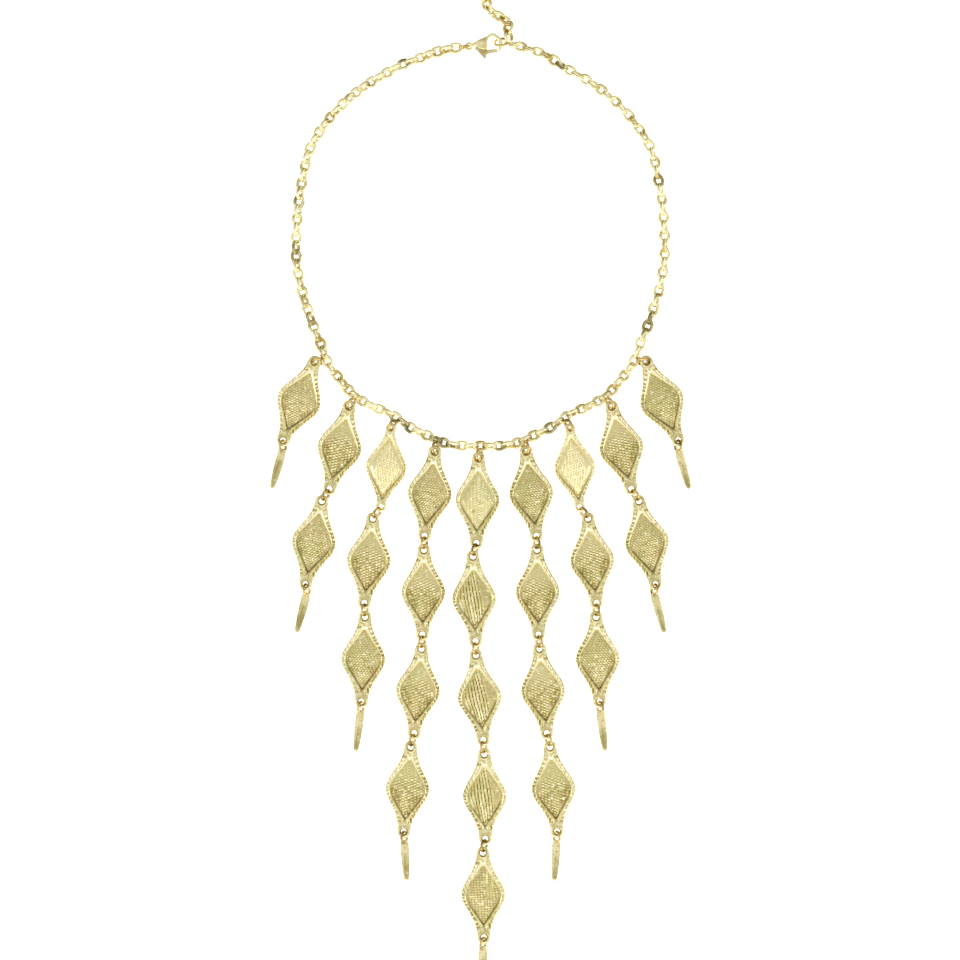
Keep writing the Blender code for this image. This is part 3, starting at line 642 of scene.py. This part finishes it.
def plaqueMaster(kind, relief, shape, finish):
    parts = [plaqueBody(shape, rimKinds[kind]), plaqueField(relief, shape)]
    major, minor = shape["eyelet"]
    for end in (1.0, -1.0):
        hole = Vector((0.0, end * shape["hole"] * mm, 0.0))
        deselectAll()
        bpy.ops.mesh.primitive_torus_add(
            major_segments=28, minor_segments=10, major_radius=major * mm, minor_radius=minor * mm,
            location=(0.0, hole.y, layout["eyeletHeight"] * mm),
        )
        eyelet = bpy.context.object
        eyelet.scale = (1.0, 1.0, plaque["eyeletFlat"])
        bakePlace(eyelet)
        reliefValues(eyelet, eyeletPaintedShade(hole, major, minor))
        parts.append(eyelet)
    for part in parts:
        outwardNormals(part)
    master = joinPieces(parts, kind + "Master")
    smoothShade(master, 50.0)
    master.data.materials.clear()
    master.data.materials.append(finish)
    return master


plaqueMasters = {
    "woven": plaqueMaster("woven", wovenField, lozenge, castFinish),
    "grained": plaqueMaster("grained", grainedField, lozenge, castFinish),
    "pleated": plaqueMaster("pleated", pleatedField, lozenge, castFinish),
    "lined": plaqueMaster("lined", linedField, lozenge, castFinish),
    "ribbed": plaqueMaster("ribbed", ribbedField, lozenge, castFinish),
    "fluted": plaqueMaster("fluted", flutedField, slender, flutedFinish),
}
plaqueKinds = {
    "outer": ["grained"], "second": ["woven", "grained"], "third": ["fluted", "woven", "grained"],
    "fourth": ["grained", "woven", "woven", "woven"],
    "middle": ["lined", "pleated", "pleated", "pleated", "ribbed"],
}
print("plaque castings modelled")


# Round wire: jump rings and chain links
wire = {
    "ringRadius": 2.0, "ringWire": 1.0, "ringTilt": 28.0, "darkReflection": (-2.6, 1.0),
    "linkWire": 1.3, "linkWidth": 4.2, "linkLength": 5.7, "turned": (8.0, 16.0), "onEdge": (58.0, 9.0),
    "extenderWire": 1.35, "extenderWidth": 4.7,
}


def wireLoop(name, radius, thick, reach, segments, finish):
    deselectAll()
    bpy.ops.mesh.primitive_torus_add(
        major_segments=segments, minor_segments=8, major_radius=radius * mm, minor_radius=thick / 2.0 * mm
    )
    loop = bpy.context.object
    loop.name = name
    for vertex in loop.data.vertices:  # drawn out along X, which makes the oval link
        vertex.co.x += (reach - radius) * mm * vertex.co.x / math.hypot(vertex.co.x, vertex.co.y)
    smoothShade(loop, 60.0)
    loop.data.materials.clear()
    loop.data.materials.append(finish)
    return loop


linkReach = (wire["linkLength"] - wire["linkWire"]) / 2.0
linkRadius = (wire["linkWidth"] - wire["linkWire"]) / 2.0
linkMaster = wireLoop("linkMaster", linkRadius, wire["linkWire"], linkReach, 22, wireFinish)
extenderReach = (wire["linkLength"] - wire["extenderWire"]) / 2.0
extenderRadius = (wire["extenderWidth"] - wire["extenderWire"]) / 2.0
extenderMaster = wireLoop(
    "extenderMaster", extenderRadius, wire["extenderWire"], extenderReach, 22, wireFinish
)
ringMaster = wireLoop("ringMaster", wire["ringRadius"], wire["ringWire"], wire["ringRadius"], 30, shadedRingFinish)


def ringPlace(centre, along, tilt):
    forward = along.normalized()
    side = Vector((-forward.y, forward.x, 0.0))
    turn = math.radians(tilt)
    normal = side * math.cos(turn) + Vector((0.0, 0.0, 1.0)) * math.sin(turn)
    frameOf = Matrix((forward, normal.cross(forward), normal)).transposed().to_4x4()
    return Matrix.Translation(centre + neckCentre) @ frameOf


def linkPlace(start, end, roll):
    forward = (end - start).normalized()
    side = Vector((0.0, 0.0, 1.0)).cross(forward).normalized()
    frameOf = Matrix((forward, side, forward.cross(side))).transposed().to_4x4()
    middle = (start + end) / 2.0 + neckCentre
    middle.z = layout["chainHeight"] * mm
    return Matrix.Translation(middle) @ frameOf @ Matrix.Rotation(math.radians(roll), 4, "X")


def raised(at):
    return Vector((at.x, at.y, layout["ringHeight"] * mm))


# Slim bar drop, its left edge beaded
drop = {
    "length": 15.0, "thick": 1.1, "around": 28, "along": 76, "clearance": 0.1, "rise": 1.0,
    "widths": [
        (0.0, 1.1), (0.02, 2.1), (0.06, 2.75), (0.15, 3.15), (0.35, 3.15), (0.6, 2.75), (0.85, 2.1),
        (0.95, 1.7), (0.985, 1.2), (1.0, 0.6),
    ],
    "bead": 0.82, "beadDepth": 0.2, "edgeFrom": 0.5, "edgeBlend": 0.3, "hollow": 0.12,
    "square": 0.6, "fullFrom": 0.9, "uvWidth": 0.004,
}


def squared(value):  # a circle's value drawn towards a rounded rectangle's
    return math.copysign(abs(value) ** drop["square"], value)


def tableValue(table, share):
    for (a, low), (b, high) in zip(table, table[1:]):
        if share <= b:
            return low + (high - low) * (share - a) / (b - a)
    return table[-1][1]


def dropMaster():
    around, along = drop["around"], drop["along"]
    deselectAll()
    bpy.ops.mesh.primitive_grid_add(x_subdivisions=around, y_subdivisions=along, size=2.0)
    bar = bpy.context.object
    bar.name = "dropMaster"
    layer = bar.data.uv_layers["UVMap"]
    for loop in bar.data.loops:
        at = bar.data.vertices[loop.vertex_index].co
        layer.data[loop.index].uv = (at.x * drop["uvWidth"], at.y * drop["length"] / 2.0 * mm)
    for vertex in bar.data.vertices:
        turn = math.tau * (round((vertex.co.x + 1.0) / 2.0 * around) % around + 0.5) / around
        share = (1.0 - vertex.co.y) / 2.0
        half = tableValue(drop["widths"], share) / 2.0
        thin = min(1.0, half / drop["fullFrom"])
        across = squared(math.cos(turn))
        up = squared(math.sin(turn)) * drop["thick"] / 2.0 * thin
        if up > 0.0:  # the face is a little hollow, with beads along its left edge
            edge = min(max((-across - drop["edgeFrom"]) / drop["edgeBlend"], 0.0), 1.0)
            bead = 0.5 - 0.5 * math.cos(math.tau * share * drop["length"] / drop["bead"])
            up -= edge * bead * drop["beadDepth"] * thin
            up -= drop["hollow"] * (1.0 - edge) * (1.0 - across * across)
        vertex.co = (across * half * mm, -share * drop["length"] * mm, up * mm)
    closeLoops(bar)
    outwardNormals(bar)
    smoothShade(bar, 48.0)
    bar.data.materials.clear()
    bar.data.materials.append(dropFinish)
    return bar


barMaster = dropMaster()
print("wire and drops modelled")


def dress(piece, node, body="necklace"):
    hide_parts(node)
    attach(piece, body)


def layPlaques():
    mirror = Matrix.Scale(-1.0, 4, (1.0, 0.0, 0.0))
    for label, place in places.items():
        if "_plaque_" not in label:
            continue
        centre, lean, side = place
        strand, number = label.split("_")[0], int(label[-1])
        kind = plaqueKinds[strand][number - 1]
        tip = Matrix.Rotation(math.radians(chance.uniform(-plaque["tip"], plaque["tip"])), 4, "X")
        roll = Matrix.Rotation(math.radians(chance.uniform(-plaque["roll"], plaque["roll"])), 4, "Y")
        lying = tip @ roll if side > 0.0 else mirror  # the right side mirrors the left
        turned = Matrix.Rotation(math.radians(-lean), 4, "Z") @ lying
        piece = copyOf(plaqueMasters[kind], label + "_cast", turned)
        if side < 0.0:
            piece.data.flip_normals()
        lift = -min(vertex.co.z for vertex in piece.data.vertices)
        piece.data.transform(Matrix.Translation(centre + neckCentre + Vector((0.0, 0.0, lift))))
        dress(piece, label)


def layRingsAndDrops():
    for label, place in places.items():
        if "_ring_" not in label and not label.endswith("_drop"):
            continue
        centre, lean, side = raised(place[0]), place[1], place[2]
        ringAt = ringPlace(centre, leaning(lean), side * wire["ringTilt"])
        if "_ring_" in label:
            dress(copyOf(ringMaster, label + "_wire", ringAt), label)
            continue
        ring = copyOf(ringMaster, "dropRing", ringAt)
        top = centre + leaning(lean) * drop["rise"] * mm
        fall = (layout["ringHeight"] - drop["thick"] / 2.0 - drop["clearance"]) / drop["length"]
        turn = Matrix.Rotation(math.radians(-place[3]), 4, "Z") @ Matrix.Rotation(math.asin(fall), 4, "X")
        bar = copyOf(barMaster, "dropBar", Matrix.Translation(top + neckCentre) @ turn)
        dress(joinPieces([bar, ring], label + "_bar"), label)


def linkRoll(number):  # nearly flat and nearly on edge by turns
    middle, spread = wire["turned"] if number % 2 == 0 else wire["onEdge"]
    return middle + chance.uniform(-spread, spread)


def chainLinks(joints, first):
    pieces = []
    for number, (start, end) in enumerate(zip(joints, joints[1:])):
        link = copyOf(linkMaster, "link", linkPlace(start, end, linkRoll(first + number)))
        reliefValues(link, max(0.0, chance.uniform(*wire["darkReflection"])))  # painted dark reflection: a few links are darkened olive in patches
        pieces.append(link)
    return pieces


def topRing(label):
    centre, lean, side = places[label + "_top"]
    matrix = ringPlace(raised(centre), leaning(lean), side * wire["ringTilt"])
    return copyOf(ringMaster, "topRing", matrix)


def layFrontChain():  # between the second strands, with the top rings that hang from it
    linked = layout["strands"]["second"][0]
    joints = list(reversed(leftLinks[:linked + 1])) + rightLinks[:linked + 1]
    pieces = chainLinks(joints, linked)
    for label in places:
        if label.endswith("_top") and not label.startswith("outer"):
            pieces.append(topRing(label[:-4]))
    dress(joinPieces(pieces, "chain_front_links"), "chain_front")


def laySideChain(side, run):  # from the second strand up to the clasp
    linked = layout["strands"]["second"][0]
    total = routeLength(run)
    first = linkPitch / 2.0 + linkPitch * linked
    count = round((total - first) / linkPitch)
    joints = linkEnds(run, first, (total - first) / count, count)
    pieces = chainLinks(joints, linked + 1) + [topRing("outer_" + side)]
    dress(joinPieces(pieces, "chain_" + side + "_links"), "chain_" + side)


# Lobster clasp with the ring at its tail, and the extender chain on the ring in its hook
clasp = {
    "tailAt": (-4.2, 73.3), "angle": 7.3, "length": 12.3, "thick": 2.0, "lift": 1.2, "bevel": 0.48,
    "body": [
        (0.08, 0.05), (0.16, 0.085), (0.348, 0.158), (0.53, 0.212), (0.66, 0.272), (0.76, 0.28),
        (0.857, 0.21), (0.945, 0.11), (0.988, -0.027), (0.968, -0.15), (0.925, -0.235),
        (0.865, -0.29), (0.835, -0.27), (0.858, -0.21),
        (0.876, -0.06), (0.866, 0.04), (0.81, 0.125), (0.707, 0.188), (0.61, 0.15), (0.545, 0.06),
        (0.535, -0.09), (0.48, -0.145), (0.312, -0.11), (0.17, -0.02), (0.08, -0.045),
    ],
    "lever": [
        (0.175, -0.10), (0.245, -0.03), (0.33, 0.04), (0.415, -0.02), (0.50, -0.16), (0.63, -0.178),
        (0.74, -0.18), (0.81, -0.21), (0.815, -0.265), (0.726, -0.295), (0.555, -0.295),
        (0.475, -0.33), (0.45, -0.412), (0.42, -0.412), (0.32, -0.285), (0.22, -0.16),
    ],
    "pivot": (0.33, -0.055), "pin": 0.45, "leverThick": 0.7, "leverBevel": 0.25,
    "slotSize": (5.8, 5.2), "slotAt": (0.367, -0.2), "slotClear": 0.6, "pinProud": 1.06, "inset": 0.8,
    "eye": (1.15, 0.42), "tailRing": (1.78, 0.4, 1.6), "hookRing": (2.34, 0.42, 41.0),
    "skin": 0.11, "dome": 0.4, "domeAt": (0.42, 0.08), "domeSize": (0.2, 0.1), "hookAt": 0.955,
    "extenderLinks": 10, "extenderRoll": 45.0, "extenderSpread": 8.0,
}


def claspPlace():
    x, y = clasp["tailAt"]
    tail = Vector((x * mm, y * mm, clasp["lift"] * mm)) + neckCentre
    return Matrix.Translation(tail) @ Matrix.Rotation(math.radians(clasp["angle"]), 4, "Z")


def castFlat(name, points, thick, bevel, finish):  # a flat outline with well rounded edges
    curve = bpy.data.curves.new(name, "CURVE")
    curve.dimensions = "2D"
    curve.fill_mode = "BOTH"
    curve.extrude = (thick / 2.0 - bevel) * mm
    curve.bevel_depth = bevel * mm
    curve.bevel_resolution = 4
    curve.offset = -bevel * clasp["inset"] * mm
    spline = curve.splines.new("BEZIER")
    spline.bezier_points.add(len(points) - 1)
    spline.resolution_u = 6
    spline.use_cyclic_u = True
    for point, (along, across) in zip(spline.bezier_points, points):
        point.co = (along * clasp["length"] * mm, across * clasp["length"] * mm, 0.0)
        point.handle_left_type = "AUTO"
        point.handle_right_type = "AUTO"
    piece = bpy.data.objects.new(name, curve)
    bpy.context.scene.collection.objects.link(piece)
    pick([piece])
    bpy.ops.object.convert(target="MESH")
    piece = bpy.context.object
    piece.location.z = clasp["thick"] / 2.0 * mm
    bakePlace(piece)
    piece.data.materials.clear()
    piece.data.materials.append(finish)
    return piece


def cutAway(piece, cutter):
    modifier = piece.modifiers.new("cut", "BOOLEAN")
    modifier.operation = "DIFFERENCE"
    modifier.solver = "EXACT"
    modifier.object = cutter
    pick([piece])
    bpy.ops.object.modifier_apply(modifier="cut")
    bpy.data.objects.remove(cutter)


def domed(piece):  # an even skin, softened, and swelled over the spring housing
    skin = piece.modifiers.new("skin", "REMESH")
    skin.mode = "VOXEL"
    skin.voxel_size = clasp["skin"] * mm
    soften = piece.modifiers.new("soften", "SMOOTH")
    soften.factor = 0.5
    soften.iterations = 5
    pick([piece])
    bpy.ops.object.modifier_apply(modifier="skin")
    bpy.ops.object.modifier_apply(modifier="soften")
    middle = clasp["thick"] / 2.0 * mm
    for vertex in piece.data.vertices:
        aside = (vertex.co.x / clasp["length"] / mm - clasp["domeAt"][0]) / clasp["domeSize"][0]
        above = (vertex.co.y / clasp["length"] / mm - clasp["domeAt"][1]) / clasp["domeSize"][1]
        swell = 1.0 + clasp["dome"] * math.exp(-aside * aside - above * above)
        vertex.co.z = middle + (vertex.co.z - middle) * swell
    return piece


def roundPart(major, minor, at, finish, name):
    deselectAll()
    bpy.ops.mesh.primitive_torus_add(
        major_segments=30, minor_segments=10, major_radius=major * mm, minor_radius=minor * mm, location=at
    )
    loop = bpy.context.object
    loop.name = name
    bakePlace(loop)
    smoothShade(loop, 60.0)
    loop.data.materials.clear()
    loop.data.materials.append(finish)
    return loop


def layClasp():
    placed = claspPlace()
    length, middle = clasp["length"] * mm, clasp["thick"] / 2.0 * mm
    body = castFlat("claspCasting", clasp["body"], clasp["thick"], clasp["bevel"], claspFinish)
    slotX, slotY = clasp["slotAt"]
    deselectAll()
    bpy.ops.mesh.primitive_cube_add(size=1.0, location=(slotX * length, slotY * length, middle))
    slot = bpy.context.object
    sizeX, sizeY = clasp["slotSize"]
    slot.scale = (sizeX * mm, sizeY * mm, (clasp["leverThick"] + clasp["slotClear"]) * mm)
    bakePlace(slot)
    cutAway(body, slot)
    pivotX, pivotY = clasp["pivot"]
    deselectAll()
    bpy.ops.mesh.primitive_cylinder_add(
        vertices=20, radius=clasp["pin"] * mm, depth=clasp["thick"] * mm * clasp["pinProud"],
        location=(pivotX * length, pivotY * length, middle),
    )
    pin = bpy.context.object
    bakePlace(pin)
    pin.data.materials.append(claspFinish)
    eye = roundPart(clasp["eye"][0], clasp["eye"][1], (0.0, 0.0, middle), claspFinish, "claspEye")
    body = domed(body)
    body = joinPieces([body, pin, eye], "clasp_casting")
    outwardNormals(body)
    smoothShade(body, 40.0)
    body.data.transform(placed)
    dress(body, "clasp_body")
    lever = castFlat("clasp_gate", clasp["lever"], clasp["leverThick"], clasp["leverBevel"], wireFinish)
    outwardNormals(lever)
    smoothShade(lever, 40.0)
    lever.data.transform(placed)
    dress(lever, "clasp_lever", "lever")
    major, minor, offset = clasp["tailRing"]
    ring = roundPart(major, minor, (0.0, 0.0, 0.0), shadedRingFinish, "clasp_tail_ring")
    upright = Matrix.Rotation(math.radians(90.0), 4, "X")
    ring.data.transform(placed @ Matrix.Translation((-offset * mm, 0.0, middle)) @ upright)
    dress(ring, "clasp_ring")


def layExtender():
    major, minor, tilt = clasp["hookRing"]
    placed = claspPlace()
    ring = roundPart(major, minor, (0.0, 0.0, 0.0), shadedRingFinish, "hookRing")
    at = placed @ Vector((clasp["hookAt"] * clasp["length"] * mm, 0.0, clasp["thick"] / 2.0 * mm))
    along = placed.to_3x3() @ Vector((1.0, 0.0, 0.0))
    ring.data.transform(ringPlace(at - neckCentre, along, tilt))
    line = smoothRoute(layout["extender"])
    count = clasp["extenderLinks"]
    joints = linkEnds(line, 0.0, routeLength(line) / count, count)
    pieces = [ring]
    for number, (start, end) in enumerate(zip(joints, joints[1:])):
        roll = clasp["extenderRoll"] + 90.0 * number
        roll += chance.uniform(-clasp["extenderSpread"], clasp["extenderSpread"])
        pieces.append(copyOf(extenderMaster, "extenderLink", linkPlace(start, end, roll)))
    dress(joinPieces(pieces, "extender_links"), "extender_chain")


layPlaques()
layRingsAndDrops()
layFrontChain()
laySideChain("left", leftRun)
laySideChain("right", rightRun)
layClasp()
layExtender()
print("strands, chain and clasp laid")

for master in list(plaqueMasters.values()) + [linkMaster, extenderMaster, ringMaster, barMaster]:
    bpy.data.objects.remove(master)

# Camera straight above, framed as the photograph, and soft studio light
studio = {
    "scale": 0.36, "pixelCentre": (480.5, 250.0), "pixels": 960, "lens": 100.0, "sensor": 36.0,
    "focusHeight": 0.002, "floorSize": 3.0, "floorLow": 0.0001, "paper": 0.85, "glow": 0.8,
    "skyDark": (0.06, 0.055, 0.045, 1.0), "skyLight": (1.0, 1.0, 1.0, 1.0),
    "skyBase": 0.2, "skyTop": 0.54, "skyAround": 0.46, "skyAside": 0.55, "skyFront": 0.85,
    "lights": [
        ("keyLight", (0.0, -0.95, 0.55), (0.7, 0.35), 2.1),
        ("leftLight", (-0.62, -0.1, 0.5), (0.2, 0.6), 0.5),
        ("rightLight", (0.62, -0.1, 0.5), (0.2, 0.6), 0.5),
    ],
}


def setCamera():
    camera = bpy.data.objects.new("camera", bpy.data.cameras.new("camera"))
    bpy.context.scene.collection.objects.link(camera)
    camera.data.lens = studio["lens"]
    camera.data.sensor_width = studio["sensor"]
    width = studio["pixels"] * studio["scale"] * mm
    distance = width * studio["lens"] / studio["sensor"]
    middle = studio["pixels"] / 2.0
    x = (middle - studio["pixelCentre"][0]) * studio["scale"] * mm
    y = -(middle - studio["pixelCentre"][1]) * studio["scale"] * mm
    camera.location = (x + neckCentre.x, y + neckCentre.y, distance + studio["focusHeight"])
    bpy.context.scene.camera = camera


def areaLight(name, at, size, power):
    light = bpy.data.objects.new(name, bpy.data.lights.new(name, "AREA"))
    bpy.context.scene.collection.objects.link(light)
    light.data.shape = "RECTANGLE"
    light.data.size, light.data.size_y = size
    light.data.energy = power
    light.location = at
    aim = -Vector(at)
    light.rotation_mode = "QUATERNION"
    light.rotation_quaternion = aim.to_track_quat("-Z", "Y")


def setFloor():
    deselectAll()
    bpy.ops.mesh.primitive_plane_add(size=studio["floorSize"], location=(0.0, 0.0, -studio["floorLow"]))
    floor = bpy.context.object
    floor.name = "floor"
    paper = bpy.data.materials.new("paper")
    paper.use_nodes = True
    shader = paper.node_tree.nodes["Principled BSDF"]
    shader.inputs["Base Color"].default_value = (studio["paper"], studio["paper"], studio["paper"], 1.0)
    shader.inputs["Roughness"].default_value = 0.9
    shader.inputs["Emission Color"].default_value = (1.0, 1.0, 1.0, 1.0)
    shader.inputs["Emission Strength"].default_value = studio["glow"]
    floor.data.materials.append(paper)


def setSky():  # a soft box: light overhead and to both sides, darker behind
    world = bpy.data.worlds.new("studio")
    world.use_nodes = True
    bpy.context.scene.world = world
    tree = world.node_tree
    make = Shade(tree, None)
    parts = make.node("SeparateXYZ", {}, {"Vector": make.node("TexCoord")})
    right, back, up = [Shade(tree, output) for output in parts.socket.node.outputs]
    aside = right.maths("ABSOLUTE", right)
    around = (aside * studio["skyAside"] - back * studio["skyFront"]) * studio["skyAround"]
    level = (studio["skyBase"] + up.step(0.0, 0.8) * studio["skyTop"] + around).clamped()
    tone = make.node(
        "ValToRGB", {"stops": ((0.0, studio["skyDark"]), (1.0, studio["skyLight"]))}, {"Fac": level}
    )
    background = tree.nodes["Background"]
    background.inputs["Strength"].default_value = 1.0
    tree.links.new(tone.socket, background.inputs["Color"])


setCamera()
setFloor()
setSky()
for row in studio["lights"]:
    areaLight(*row)
bpy.context.scene.view_settings.view_transform = "Standard"
print("stage set")
